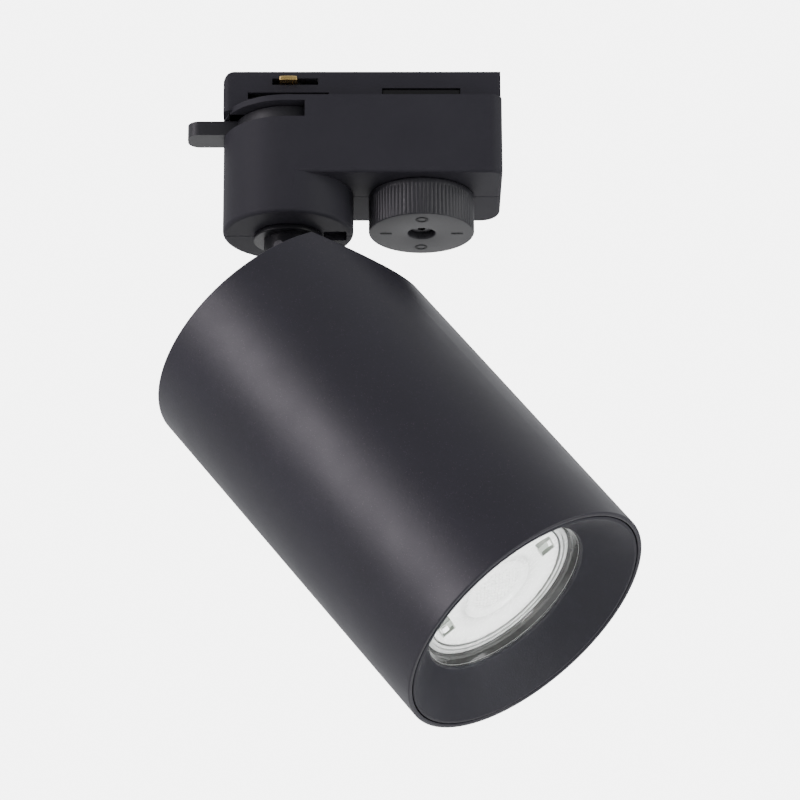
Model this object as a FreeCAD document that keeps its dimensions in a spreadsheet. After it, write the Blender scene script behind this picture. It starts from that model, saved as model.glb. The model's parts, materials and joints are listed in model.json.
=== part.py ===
import FreeCAD, Part
import os
import re
import Sketcher
from FreeCAD import Rotation, Vector

# Track spotlight: a track adapter with a lever and a knob, a panning neck and a tilting lamp head.
# Frame: origin at the centre of the adapter's flat top face, on the pan axis. +Z is up, +X runs
# along the track towards the knob, and -Y is the front. Sizes are millimetres and degrees.

doc = FreeCAD.newDocument("track_spotlight")
sheet = doc.addObject("Spreadsheet::Sheet", "sizes")

SIZES = {
    # adapter housing
    "boss_radius": 17.7,        # round boss under the left end; also half the body's width
    "body_reach": 57.8,         # pan axis to the adapter's right end
    "body_height": 22.5,        # ledge to the body's underside
    "boss_drop": 11.5,          # underside to the boss's lower face
    "boss_floor": 3.0,
    "shell_wall": 2.0,
    "corner_front": 3.3,
    "corner_rear": 5.5,
    "edge_round": 1.2,
    "seam_gap": 0.3,           # visible joint line between the two shells
    "tongue_height": 10.5,      # the part that enters the track
    "tongue_half": 9.4,
    "tongue_wall": 1.5,
    "tongue_left": 17.7,
    "tongue_inset": 0.1,        # tongue's right end behind the body's right end
    "tongue_corner": 2.0,
    "tongue_nose": 3.0,
    "top_wall": 1.7,
    "web_top": 18.5,            # depth of the bearing web below the top face
    "web_wall": 2.0,
    "pocket_size": 6.2,
    "pocket_near": 9.6,
    "pocket_depth": 1.8,
    # clearances
    "fit": 0.08,                # running fit, radial
    "gap": 0.3,                 # between parts that move past each other
    "stub_gap": 0.2,
    # shell screws
    "screw_radius": 1.5,
    "screw_head": 2.8,
    "screw_inner_x": 23.2,
    "screw_outer_x": 50.0,
    "screw_upper": 16.0,        # depths below the top face
    "screw_lower": 28.0,
    "pillar_wall": 2.4,
    "screw_sink": 2.6,
    "screw_length": 26.0,
    # lever, rotor and contacts
    "lever_thick": 4.1,
    "lever_reach": 27.5,
    "lever_width": 8.6,
    "lever_tip_round": 3.4,
    "lever_top": 12.45,          # depth below the top face
    "hub_radius": 14.4,
    "journal_radius": 6.0,
    "drive_radius": 5.0,
    "rotor_disc": 9.1,
    "rotor_disc_top": 6.5,
    "rotor_disc_thick": 1.3,
    "rotor_slot_half": 11.0,
    "carrier_radius": 7.2,
    "rotor_bore": 2.0,
    "stub_radius": 2.0,
    "stub_length": 1.1,
    "contact_tip": 12.1,
    "contact_root": 3.0,
    "contact_width": 4.8,
    "contact_top": 2.3,
    "contact_thick": 1.3,
    "contact_margin": 2.0,      # slot beyond the contact's side at rest
    # knob and locking plate
    "knob_x": 36.1,
    "knob_radius": 14.3,
    "knob_taper": 0.2,
    "knob_height": 10.5,
    "knob_recess_radius": 3.8,
    "knob_recess_depth": 2.6,
    "knob_screw_head": 3.4,
    "knob_screw_radius": 1.5,
    "knob_screw_length": 7.0,
    "knob_socket": 4.6,
    "shaft_radius": 5.0,
    "shaft_flange": 6.5,
    "shaft_flange_thick": 1.6,
    "plate_radius": 13.9,
    "plate_half": 9.1,
    "plate_top": 5.2,
    "plate_thick": 1.6,
    "plate_bore": 3.5,
    "ball_radius": 1.4,
    "ball_offset": 10.0,        # knob axis to the detent ball
    "leaf_thick": 0.4,
    "leaf_width": 4.0,
    "leaf_length": 12.0,
    # neck and swivel
    "neck_radius": 6.5,
    "neck_bore": 4.0,
    "swivel_radius": 6.0,
    "swivel_rise": 9.5,         # neck above the boss's lower face
    "collar_radius": 9.35,
    "collar_thick": 1.3,
    "washer_radius": 9.0,
    "washer_thick": 0.8,
    "stop_thick": 1.2,
    "stop_reach": 12.0,
    "stop_width": 1.6,
    "nut_flats": 16.0,
    "nut_thick": 3.0,
    "lead_radius": 1.2,
    "lead_spacing": 1.7,
    "set_screw_radius": 1.4,
    "set_screw_drop": 3.4,
    "pivot_drop": 33.6,         # boss's lower face to the tilt axis
    "eye_radius": 7.0,
    "eye_half": 6.0,
    "pan_rest": -22.65,         # heading of the head about +Z at rest
    "tilt_rest": 38.8,          # tilt of the head from straight down at rest
    # head tube, with its axis through the pivot
    "tube_radius": 37.1,
    "tube_wall": 1.3,
    "tube_front": 107.1,        # pivot to the front rim
    "pin_clear": 0.3,           # hinge pin's head to the back wall
    "back_wall": 2.0,
    "bevel_angle": 64.1,        # bevel's normal from the tube's axis
    "bevel_reach": 28.1,        # pivot to the bevel face
    "slot_gap": 1.3,            # neck's side to the slot's edge
    "slot_near": 8.2,
    "slot_low": 1.0,
    # front baffle
    "baffle_gap": 0.25,
    "baffle_skirt": 12.0,
    "baffle_wall": 1.2,
    "baffle_rim": 0.9,
    "mouth_lip": 0.5,           # baffle's mouth inside the lamp's edge
    "mouth_depth": 8.7,
    "ring_height": 1.6,
    "ring_width": 1.4,
    # tilt bracket, pin and washers
    "sheet_thick": 1.5,
    "ear_gap": 1.0,
    "bracket_half": 7.0,
    "bracket_back": 14.0,
    "bracket_span": 19.0,
    "pin_radius": 2.5,
    "pin_head": 4.5,
    "pin_head_thick": 3.2,
    "pin_nut_thick": 3.6,
    "friction_radius": 4.4,
    "plate_screw_radius": 2.0,
    "plate_screw_x": 10.6,
    "plate_screw_y": 14.0,
    "plate_screw_length": 8.5,
    "plate_nut_radius": 3.4,
    "plate_nut_thick": 2.8,
    # lamp holder and its bracket
    "strap_half": 5.0,
    "strap_x": 9.0,
    "strap_span": 20.2,
    "holder_top": 29.7,         # pivot to the holder's top face
    "holder_radius": 13.0,
    "holder_length": 20.3,
    "pin_spacing": 10.0,
    "socket_radius": 3.2,
    "socket_depth": 12.0,
    "terminal_radius": 2.6,
    "terminal_length": 3.6,
    "holder_screw_radius": 1.5,
    "holder_screw_y": 8.5,
    "holder_screw_length": 8.0,
    "lead_rise": 16.0,
    # GU10 lamp
    "lamp_radius": 25.0,
    "lamp_base_radius": 12.0,
    "lamp_base_length": 12.5,
    "lamp_wall": 1.4,
    "lamp_lip": 1.0,
    "lamp_pin_radius": 1.25,
    "lamp_pin_head": 2.5,
    "lamp_pin_length": 8.0,
    "cover_recess": 3.3,
    "cover_width": 1.3,
    "cover_flat": 2.2,          # cover ring's inner edge to the lens
    "lens_edge": 1.6,
    "lens_depth": 9.0,
    "lens_root": 6.0,
    "board_inset": 7.0,         # lamp's edge to the board's
    "board_thick": 1.6,
}

# Places worked out from the sizes above.
DERIVED = {
    "ledge_z": "-tongue_height",
    "belly_z": "ledge_z - body_height",
    "boss_z": "belly_z - boss_drop",
    "floor_z": "boss_z + boss_floor",
    "inner_radius": "boss_radius - shell_wall",
    "inner_top": "lever_z + gap",
    "web_z": "-web_top",
    "lever_z": "-lever_top",
    "lever_low": "lever_z - lever_thick",
    "rotor_low": "web_z - web_wall - 1.5",
    "rotor_top": "-top_wall - gap",
    "stub_top": "rotor_top + stub_length",
    "socket_top": "stub_top + stub_gap",
    "knob_top": "belly_z - gap",
    "knob_z": "knob_top - knob_height",
    "plate_z": "-plate_top - plate_thick",
    "swivel_top": "boss_z + swivel_rise",
    "collar_z": "boss_z - gap - collar_thick",
    "washer_z": "floor_z + gap",
    "stop_z": "washer_z + washer_thick",
    "nut_z": "stop_z + stop_thick",
    "pivot_z": "boss_z - pivot_drop",
    "tube_inner": "tube_radius - tube_wall",
    "back_inner": "tube_back - back_wall",
    "tube_back": "back_wall + pin_clear + pin_head",
    "slot_half": "neck_radius + slot_gap",
    "ear_y": "neck_radius + ear_gap",
    "ear_out": "ear_y + sheet_thick",
    "flange_z": "back_inner - sheet_thick",
    "strap_z": "flange_z - sheet_thick",
    "holder_z": "-holder_top - holder_length",
    "mouth_radius": "lamp_radius - mouth_lip",
    "lamp_front": "-tube_front + mouth_depth + baffle_wall",
    "cover_inner": "lamp_radius - lamp_lip - cover_width",
    "lens_radius": "cover_inner - cover_flat",
    "board_radius": "lamp_radius - board_inset",
}

doc.recompute()
for row, (alias, value) in enumerate(SIZES.items(), start=1):
    sheet.set(f"A{row}", alias.replace("_", " "))
    sheet.set(f"B{row}", str(value))
    sheet.setAlias(f"B{row}", alias)
doc.recompute()


def formula(text):
    """The expression for a size or place, with every name led back to the sheet's cells."""
    def expand(match):
        word = match.group(0)
        if word in DERIVED:
            return f"({formula(DERIVED[word])})"
        return f"sizes.{word}" if word in SIZES else word
    return re.sub(r"[A-Za-z_][A-Za-z_0-9]*", expand, str(text))


def size(text):
    return float(sheet.evalExpression(formula(text)))


def bind(item, **bindings):
    for name, text in bindings.items():
        item.setExpression(name.replace("__", "."), formula(text))
    return item


# Where each moving group's own frame lies at rest.
FRAMES = {
    "neck": "placement(vector(0; 0; 0); rotation(pan_rest; 0; 0))",
    "head": "placement(vector(0; 0; pivot_z); rotation(pan_rest; -tilt_rest; 0))",
}
SUB_PARTS = []


def part(item, name, frame=None):
    """Name a finished sub-part and put it in its group's frame."""
    item.Label = name
    if frame:
        item.setExpression("Placement", formula(FRAMES[frame]))
    SUB_PARTS.append(item)
    return item


def box(x, y, z):
    item = doc.addObject("Part::Box", "block")
    for side, place, (low, high) in (("Length", "x", x), ("Width", "y", y), ("Height", "z", z)):
        item.setExpression(side, formula(f"({high}) - ({low})"))
        item.setExpression(f"Placement.Base.{place}", formula(low))
    return item


def rod(radius, z, x="0", y="0"):
    """A cylinder along Z."""
    item = doc.addObject("Part::Cylinder", "rod")
    bind(item, Radius=radius, Height=f"({z[1]}) - ({z[0]})")
    bind(item, Placement__Base__x=x, Placement__Base__y=y, Placement__Base__z=z[0])
    return item


def cross_rod(radius, y, x="0", z="0"):
    """A cylinder along Y."""
    item = doc.addObject("Part::Cylinder", "cross_rod")
    item.Placement.Rotation = Rotation(Vector(1, 0, 0), -90)
    bind(item, Radius=radius, Height=f"({y[1]}) - ({y[0]})")
    bind(item, Placement__Base__x=x, Placement__Base__y=y[0], Placement__Base__z=z)
    return item


def fuse(*items):
    result = doc.addObject("Part::MultiFuse", "joined")
    result.Shapes = list(items)
    return result


def group(*items):
    result = doc.addObject("Part::Compound", "group")
    result.Links = list(items)
    return result


def cut(base, *tools):
    result = doc.addObject("Part::Cut", "trimmed")
    result.Base = base
    result.Tool = tools[0] if len(tools) == 1 else fuse(*tools)
    return result


def common(first, second):
    result = doc.addObject("Part::Common", "shared")
    result.Base = first
    result.Tool = second
    return result


def fillet(base, rounds):
    """Round the straight edges whose middle lies at a given place: (x, y, z, radius)."""
    doc.recompute()
    edges = []
    for x, y, z, radius in rounds:
        place = Vector(size(x), size(y), size(z))
        for number, edge in enumerate(base.Shape.Edges, start=1):
            if (edge.CenterOfMass - place).Length < 0.01:
                edges.append((number, size(radius), size(radius)))
    if len(edges) != len(rounds):
        raise RuntimeError(f"{base.Name}: found {len(edges)} of {len(rounds)} edges to round")
    result = doc.addObject("Part::Fillet", "rounded")
    result.Base = base
    result.Edges = edges
    return result


def turned(name, outline):
    """A body revolved about Z from an outline of (radius, height) points."""
    body = doc.addObject("PartDesign::Body", name)
    sketch = body.newObject("Sketcher::SketchObject", f"{name}_outline")
    plane = next(item for item in body.Origin.OriginFeatures if item.Role == "XZ_Plane")
    sketch.AttachmentSupport = [(plane, "")]
    sketch.MapMode = "FlatFace"
    places = [Vector(size(radius), size(height), 0) for radius, height in outline]
    following = places[1:] + places[:1]
    for start, end in zip(places, following):
        sketch.addGeometry(Part.LineSegment(start, end), False)
    for line in range(len(places)):
        sketch.addConstraint(Sketcher.Constraint("Coincident", line, 2, (line + 1) % len(places), 1))
    for line, (point, place) in enumerate(zip(outline, places)):
        for kind, text, value in (("DistanceX", point[0], place.x), ("DistanceY", point[1], place.y)):
            index = sketch.addConstraint(Sketcher.Constraint(kind, -1, 1, line, 1, value))
            sketch.setExpression(f"Constraints[{index}]", formula(text))
    revolution = body.newObject("PartDesign::Revolution", f"{name}_turned")
    revolution.Profile = sketch
    revolution.ReferenceAxis = (sketch, ["V_Axis"])
    revolution.Angle = 360
    return body


def adapter_outside():
    """Body, boss and track tongue as one solid block."""
    body_box = box(("0", "body_reach"), ("-boss_radius", "boss_radius"), ("belly_z", "ledge_z"))
    middle_z = "(belly_z + ledge_z) / 2"
    body_block = fillet(body_box, [
        ("body_reach", "-boss_radius", middle_z, "corner_front"),
        ("body_reach", "boss_radius", middle_z, "corner_rear"),
        ("body_reach / 2", "-boss_radius", "belly_z", "edge_round"),
        ("body_reach / 2", "boss_radius", "belly_z", "edge_round"),
        ("body_reach", "0", "belly_z", "edge_round"),
    ])
    boss = fillet(rod("boss_radius", ("boss_z", "ledge_z")), [("0", "0", "boss_z", "edge_round")])
    tongue_right = "body_reach - tongue_inset"
    tongue_box = box(("-tongue_left", tongue_right), ("-tongue_half", "tongue_half"), ("ledge_z - 1", "0"))
    tongue = fillet(tongue_box, [
        ("-tongue_left", "-tongue_half", "(ledge_z - 1) / 2", "tongue_corner"),
        ("-tongue_left", "tongue_half", "(ledge_z - 1) / 2", "tongue_corner"),
        ("-tongue_left", "0", "0", "tongue_nose"),
    ])
    return fuse(body_block, boss, tongue)


def screw_places():
    return [(x, z) for x in ("screw_inner_x", "screw_outer_x") for z in ("-screw_upper", "-screw_lower")]


def adapter_inside():
    """The hollow between the shells, less its web, screw pillars and pan stop."""
    tongue_inner = "(tongue_half - tongue_wall)"
    hollow = fuse(
        rod("inner_radius", ("floor_z", "inner_top")),
        box(("0", "body_reach - shell_wall"), ("-inner_radius", "inner_radius"),
            ("belly_z + shell_wall", "inner_top")),
        box(("-tongue_left + tongue_wall", "body_reach - tongue_inset - tongue_wall"),
            (f"-{tongue_inner}", tongue_inner), ("inner_top - 1", "-top_wall")),
    )
    web_span = ("-boss_radius", "boss_radius")
    web = box(web_span, web_span, ("web_z - web_wall", "web_z"))
    stop = box(("-boss_radius", "-washer_radius - 1"), ("0", "stop_width"), ("boss_z", "nut_z + gap"))
    pillars = [cross_rod("screw_radius + pillar_wall", ("-boss_radius", "boss_radius"), x, z)
               for x, z in screw_places()]
    return cut(hollow, web, stop, *pillars)


def adapter_openings():
    """Bores, sockets, windows and slots through the shells."""
    far = "(lever_reach * 2)"
    slot_low = "(-contact_top - contact_thick - gap)"
    contact_ring = rod("contact_tip + gap", (slot_low, "-contact_top + gap"))
    near = "(contact_width / 2 + contact_margin)"
    front_half = box((f"-{near}", far), (f"-{far}", "0"), (slot_low, "0"))
    rear_half = box((f"-{far}", near), ("0", far), (slot_low, "0"))
    window_edge = "(lever_width / 2 + gap)"
    pocket_y = "(pocket_size / 2)"
    openings = [
        common(contact_ring, fuse(front_half, rear_half)),
        box(("-rotor_slot_half", "rotor_slot_half"), (f"-{far}", far),
            ("-rotor_disc_top - rotor_disc_thick - gap", "-rotor_disc_top + gap")),
        rod("plate_radius + gap", ("plate_z - gap", "-plate_top + gap"), "knob_x"),
        box((f"-{far}", window_edge), (f"-{far}", window_edge), ("lever_low - gap", "lever_z + gap")),
        rod("swivel_radius + fit", ("boss_z - 1", "floor_z + 1")),
        rod("journal_radius + fit", ("web_z - web_wall - 1", "web_z + 1")),
        rod("stub_radius + fit", ("-top_wall - 1", "socket_top")),
        rod("stub_radius + fit", ("-top_wall - 1", "socket_top"), "knob_x"),
        rod("shaft_radius + fit", ("belly_z - 1", "belly_z + shell_wall + 1"), "knob_x"),
        rod("ball_radius + fit", ("belly_z - 1", "belly_z + shell_wall + 1"), "knob_x", "ball_offset"),
        box(("pocket_near", "pocket_near + pocket_size"), (f"-{pocket_y}", pocket_y),
            ("boss_z - 1", "boss_z + pocket_depth")),
    ]
    for x, z in screw_places():
        openings.append(cross_rod("screw_radius", ("boss_radius - screw_sink - screw_length", "0"), x, z))
        openings.append(cross_rod("screw_radius + gap", ("0", "boss_radius"), x, z))
        openings.append(cross_rod("screw_head + gap", ("boss_radius - screw_sink", "boss_radius + 1"), x, z))
    return fuse(*openings)


def adapter_shells():
    whole = cut(adapter_outside(), adapter_inside(), adapter_openings())
    span = ("-boss_radius * 2", "body_reach * 2")
    lower, upper = ("boss_z - 1", "ledge_z"), ("ledge_z", "1")
    front_side = fuse(box(span, ("-boss_radius * 2", "-seam_gap / 2"), lower),
                      box(span, ("-boss_radius * 2", "0"), upper))
    rear_side = fuse(box(span, ("seam_gap / 2", "boss_radius * 2"), lower),
                     box(span, ("0", "boss_radius * 2"), upper))
    part(common(whole, front_side), "adapter_front_shell")
    part(common(whole, rear_side), "adapter_rear_shell")
    screws = []
    for x, z in screw_places():
        seat = "(boss_radius - screw_sink)"
        shank = cross_rod("screw_radius", (f"{seat} - screw_length", seat), x, z)
        head = cross_rod("screw_head", (seat, "boss_radius - 0.4"), x, z)
        screws.append(fuse(shank, head))
    part(group(*screws), "shell_screws")


def detent():
    """The ball and leaf spring that give the knob its two positions."""
    ball = doc.addObject("Part::Sphere", "ball")
    centre_z = "(belly_z + ball_radius - 0.1)"
    bind(ball, Radius="ball_radius", Placement__Base__x="knob_x", Placement__Base__y="ball_offset",
         Placement__Base__z=centre_z)
    part(ball, "detent_ball")
    leaf_left = "(knob_x - leaf_length / 2)"
    leaf_right = "(knob_x + leaf_length / 2)"
    leaf_y = ("ball_offset - leaf_width / 2", "ball_offset + leaf_width / 2")
    leaf_z = f"({centre_z} + ball_radius)"
    leaf = box((leaf_left, leaf_right), leaf_y, (leaf_z, f"{leaf_z} + leaf_thick"))
    foot = box((leaf_left, f"{leaf_left} + leaf_thick"), leaf_y, ("belly_z + shell_wall", leaf_z))
    part(fuse(leaf, foot), "detent_spring")


def lever_group():
    """The lever, the rotor that it turns, and the two brass contacts."""
    tab_box = box(("-lever_reach", "0"), ("-lever_width / 2", "lever_width / 2"), ("lever_low", "lever_z"))
    middle_z = "(lever_low + lever_z) / 2"
    tab = fillet(tab_box, [
        ("-lever_reach", "-lever_width / 2", middle_z, "lever_tip_round"),
        ("-lever_reach", "lever_width / 2", middle_z, "lever_tip_round"),
    ])
    hub = rod("hub_radius", ("lever_low", "lever_z"))
    part(cut(fuse(tab, hub), rod("drive_radius", ("lever_low", "lever_z"))), "lock_lever")

    disc_low = "-rotor_disc_top - rotor_disc_thick"
    rotor = turned("rotor_blank", [
        ("rotor_bore", "rotor_low"), ("journal_radius", "rotor_low"), ("journal_radius", "lever_low"),
        ("drive_radius", "lever_low"), ("drive_radius", disc_low), ("rotor_disc", disc_low),
        ("rotor_disc", "-rotor_disc_top"), ("carrier_radius", "-rotor_disc_top"),
        ("carrier_radius", "rotor_top"), ("stub_radius", "rotor_top"), ("stub_radius", "stub_top"),
        ("0", "stub_top"), ("0", "-rotor_disc_top"), ("rotor_bore", "-rotor_disc_top"),
    ])
    width = ("-contact_width / 2", "contact_width / 2")
    height = ("-contact_top - contact_thick", "-contact_top")
    for side, span in (("front", ("-contact_tip * 2", "-contact_root")),
                       ("rear", ("contact_root", "contact_tip * 2"))):
        blade = common(box(width, span, height), rod("contact_tip", height))
        part(blade, f"{side}_contact")
    pockets = [box(width, ("-contact_tip", "-contact_root"), height),
               box(width, ("contact_root", "contact_tip"), height)]
    part(cut(rotor, *pockets), "contact_rotor")


def knob_group():
    """The knob, its screw and shaft, and the oblong plate that locks into the track."""
    lower = "(knob_z + knob_recess_depth)"
    screw_end = f"({lower} + knob_screw_length)"
    socket = "(knob_top - knob_socket)"
    knob = turned("lock_knob", [
        ("knob_screw_radius", lower), ("knob_recess_radius", lower), ("knob_recess_radius", "knob_z"),
        ("knob_radius - knob_taper - 0.5", "knob_z"), ("knob_radius - knob_taper", "knob_z + 0.5"),
        ("knob_radius", "knob_top"), ("shaft_radius", "knob_top"), ("shaft_radius", socket),
        ("knob_screw_radius", socket),
    ])
    flange_z = "(belly_z + shell_wall + gap)"
    shaft = turned("lock_shaft", [
        ("0", screw_end), ("knob_screw_radius", screw_end), ("knob_screw_radius", socket),
        ("shaft_radius", socket), ("shaft_radius", flange_z), ("shaft_flange", flange_z),
        ("shaft_flange", f"{flange_z} + shaft_flange_thick"),
        ("shaft_radius", f"{flange_z} + shaft_flange_thick"), ("shaft_radius", "plate_z"),
        ("plate_bore", "plate_z"), ("plate_bore", "rotor_top"), ("stub_radius", "rotor_top"),
        ("stub_radius", "stub_top"), ("0", "stub_top"),
    ])
    screw = turned("knob_screw", [
        ("0", screw_end), ("0", "knob_z + 0.5"), ("knob_screw_head - 0.4", "knob_z + 0.5"),
        ("knob_screw_head", "knob_z + 0.9"), ("knob_screw_head", lower), ("knob_screw_radius", lower),
        ("knob_screw_radius", screw_end),
    ])
    for item in (knob, shaft, screw):
        bind(part(item, item.Name), Placement__Base__x="knob_x")
    height = ("plate_z", "-plate_top")
    flats = box(("knob_x - plate_radius", "knob_x + plate_radius"), ("-plate_half", "plate_half"), height)
    oblong = common(rod("plate_radius", height, "knob_x"), flats)
    part(cut(oblong, rod("plate_bore", height, "knob_x")), "lock_plate")


def neck_group():
    """The hollow neck and what holds it in the boss."""
    eye = "(pivot_z + eye_radius)"
    stem = turned("stem", [
        ("neck_bore", eye), ("neck_radius", eye), ("neck_radius", "collar_z"), ("swivel_radius", "collar_z"),
        ("swivel_radius", "swivel_top"), ("neck_bore", "swivel_top"),
    ])
    cheek = cross_rod("eye_radius", ("-eye_half", "eye_half"), "0", "pivot_z")
    root = rod("neck_radius", ("pivot_z", eye))
    bore = cross_rod("pin_radius + fit", ("-neck_radius - 1", "neck_radius + 1"), "0", "pivot_z")
    flats = [box(("-neck_radius - 1", "neck_radius + 1"), span,
                 ("pivot_z - eye_radius", "pivot_z + friction_radius + gap * 2"))
             for span in (("-neck_radius - 1", "-eye_half"), ("eye_half", "neck_radius + 1"))]
    wire_way = box(("-neck_radius - 1", "0"), ("-neck_bore + 1", "neck_bore - 1"), (eye, f"{eye} + 8"))
    set_screw_z = "(boss_z - gap - collar_thick - set_screw_drop)"
    set_screw_hole = cross_rod("set_screw_radius", ("-neck_radius - 1", "0"), "0", set_screw_z)
    part(cut(fuse(stem, cheek, root), bore, wire_way, set_screw_hole, *flats), "neck_tube", "neck")
    set_screw = cross_rod("set_screw_radius", ("-neck_radius + 0.1", "-neck_bore - 0.2"), "0", set_screw_z)
    part(group(set_screw), "neck_set_screw", "neck")

    def ring(name, radius, low, thick):
        height = (low, f"{low} + {thick}")
        return part(cut(rod(radius, height), rod("swivel_radius", height)), name, "neck")

    ring("swivel_collar", "collar_radius", "collar_z", "collar_thick")
    ring("spring_washer", "washer_radius", "washer_z", "washer_thick")
    stop_height = ("stop_z", "nut_z")
    tab = box(("0", "stop_reach"), ("-stop_width / 2", "stop_width / 2"), stop_height)
    disc = fuse(rod("washer_radius", stop_height), tab)
    part(cut(disc, rod("swivel_radius", stop_height)), "stop_washer", "neck")
    prism = doc.addObject("Part::Prism", "hexagon")
    prism.Polygon = 6
    bind(prism, Circumradius="nut_flats / 2 / cos(30)", Height="nut_thick", Placement__Base__z="nut_z")
    nut_height = ("nut_z", "nut_z + nut_thick")
    part(cut(prism, rod("swivel_radius", nut_height)), "swivel_nut", "neck")
    leads = [rod("lead_radius", (f"{eye} + 2", "rotor_low - 1"), "0", y)
             for y in ("-lead_spacing", "lead_spacing")]
    part(group(*leads), "neck_leads", "neck")


def beyond_bevel(offset):
    """The block beyond the head's bevel face, moved in by an offset."""
    item = doc.addObject("Part::Box", "bevel_block")
    bind(item, Length="tube_radius * 4", Width="tube_radius * 4", Height="tube_radius * 4")
    reach = f"(bevel_reach - ({offset}))"
    corner = ("vector(REACH * sin(bevel_angle) - tube_radius * 2 * cos(bevel_angle); -tube_radius * 2;"
              " REACH * cos(bevel_angle) + tube_radius * 2 * sin(bevel_angle))").replace("REACH", reach)
    item.setExpression("Placement", formula(f"placement({corner}; rotation(0; bevel_angle; 0))"))
    return item


def head_tube():
    outside = cut(rod("tube_radius", ("-tube_front", "tube_back")), beyond_bevel("0"))
    inside = cut(rod("tube_inner", ("-tube_front - 1", "back_inner")), beyond_bevel("back_wall"))
    slot = fuse(rod("slot_half", ("slot_low", "tube_back + 1"), "-slot_near + slot_half"),
                box(("-slot_near + slot_half", "tube_radius"), ("-slot_half", "slot_half"),
                    ("slot_low", "tube_back + 1")))
    holes = [rod("plate_screw_radius", ("back_inner - 1", "tube_back + 1"), "-plate_screw_x", y)
             for y in ("-plate_screw_y", "plate_screw_y")]
    part(cut(outside, inside, slot, *holes), "housing_tube", "head")


def baffle():
    rim = "-tube_front"
    outer = "(tube_inner - baffle_gap)"
    edge = f"({outer} - baffle_rim)"
    mouth = f"({rim} + mouth_depth)"
    lip = f"({mouth} + baffle_wall)"
    cone = turned("front_baffle", [
        (outer, rim), (outer, f"{rim} + baffle_skirt"), (f"{outer} - baffle_wall", f"{rim} + baffle_skirt"),
        (f"{outer} - baffle_wall", f"{rim} + baffle_wall * 2"), ("mouth_radius + baffle_wall", lip),
        ("mouth_radius", lip), ("mouth_radius", mouth), (edge, rim),
    ])
    part(cone, "front_baffle", "head")
    seat = f"({rim} + baffle_skirt)"
    ring = turned("retaining_ring", [
        ("tube_inner", seat), ("tube_inner", f"{seat} + ring_height"),
        ("tube_inner - ring_width", f"{seat} + ring_height"), ("tube_inner - ring_width", seat),
    ])
    part(ring, "retaining_ring", "head")


def pin_room():
    """Room round the hinge pin's head and its nut."""
    return [cross_rod("pin_head + gap", ("-ear_out - pin_head_thick - gap", "-ear_out")),
            cross_rod("pin_head + gap", ("ear_out", "ear_out + pin_nut_thick + 1"))]


def tilt_joint():
    """The bracket, pin, nut and washers that the head tilts on."""
    plate = box(("-bracket_back", "bracket_half"), ("-bracket_span", "bracket_span"),
                ("flange_z", "back_inner"))
    gap_box = box(("-slot_near - gap", "bracket_half + 1"), ("-ear_y", "ear_y"),
                  ("flange_z - 1", "back_inner + 1"))
    ears = []
    for low, high in (("-ear_out", "-ear_y"), ("ear_y", "ear_out")):
        ears.append(box(("-bracket_half", "bracket_half"), (low, high), ("0", "back_inner")))
        ears.append(cross_rod("bracket_half", (low, high)))
    holes = [cross_rod("pin_radius", ("-ear_out - 1", "ear_out + 1")),
             box(("-bracket_half", "bracket_half"), ("-ear_out", "ear_out"),
                 ("back_inner", "bracket_half + 1")),
             *pin_room()]
    for y in ("-plate_screw_y", "plate_screw_y"):
        holes.append(rod("plate_screw_radius", ("flange_z - 1", "back_inner + 1"), "-plate_screw_x", y))
    part(cut(fuse(cut(plate, gap_box), *ears), *holes), "tilt_bracket", "head")

    shank = cross_rod("pin_radius", ("-ear_out", "ear_out + pin_nut_thick + 0.6"))
    head = cross_rod("pin_head", ("-ear_out - pin_head_thick", "-ear_out"))
    part(fuse(shank, head), "hinge_pin", "head")
    nut = cross_rod("pin_head", ("ear_out", "ear_out + pin_nut_thick"))
    bore = cross_rod("pin_radius", ("ear_out", "ear_out + pin_nut_thick"))
    part(cut(nut, bore), "hinge_nut", "head")
    washers = []
    for low, high in (("-ear_y", "-eye_half - gap"), ("eye_half + gap", "ear_y")):
        washers.append(cut(cross_rod("friction_radius", (low, high)), cross_rod("pin_radius", (low, high))))
    part(group(*washers), "friction_washers", "head")


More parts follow.
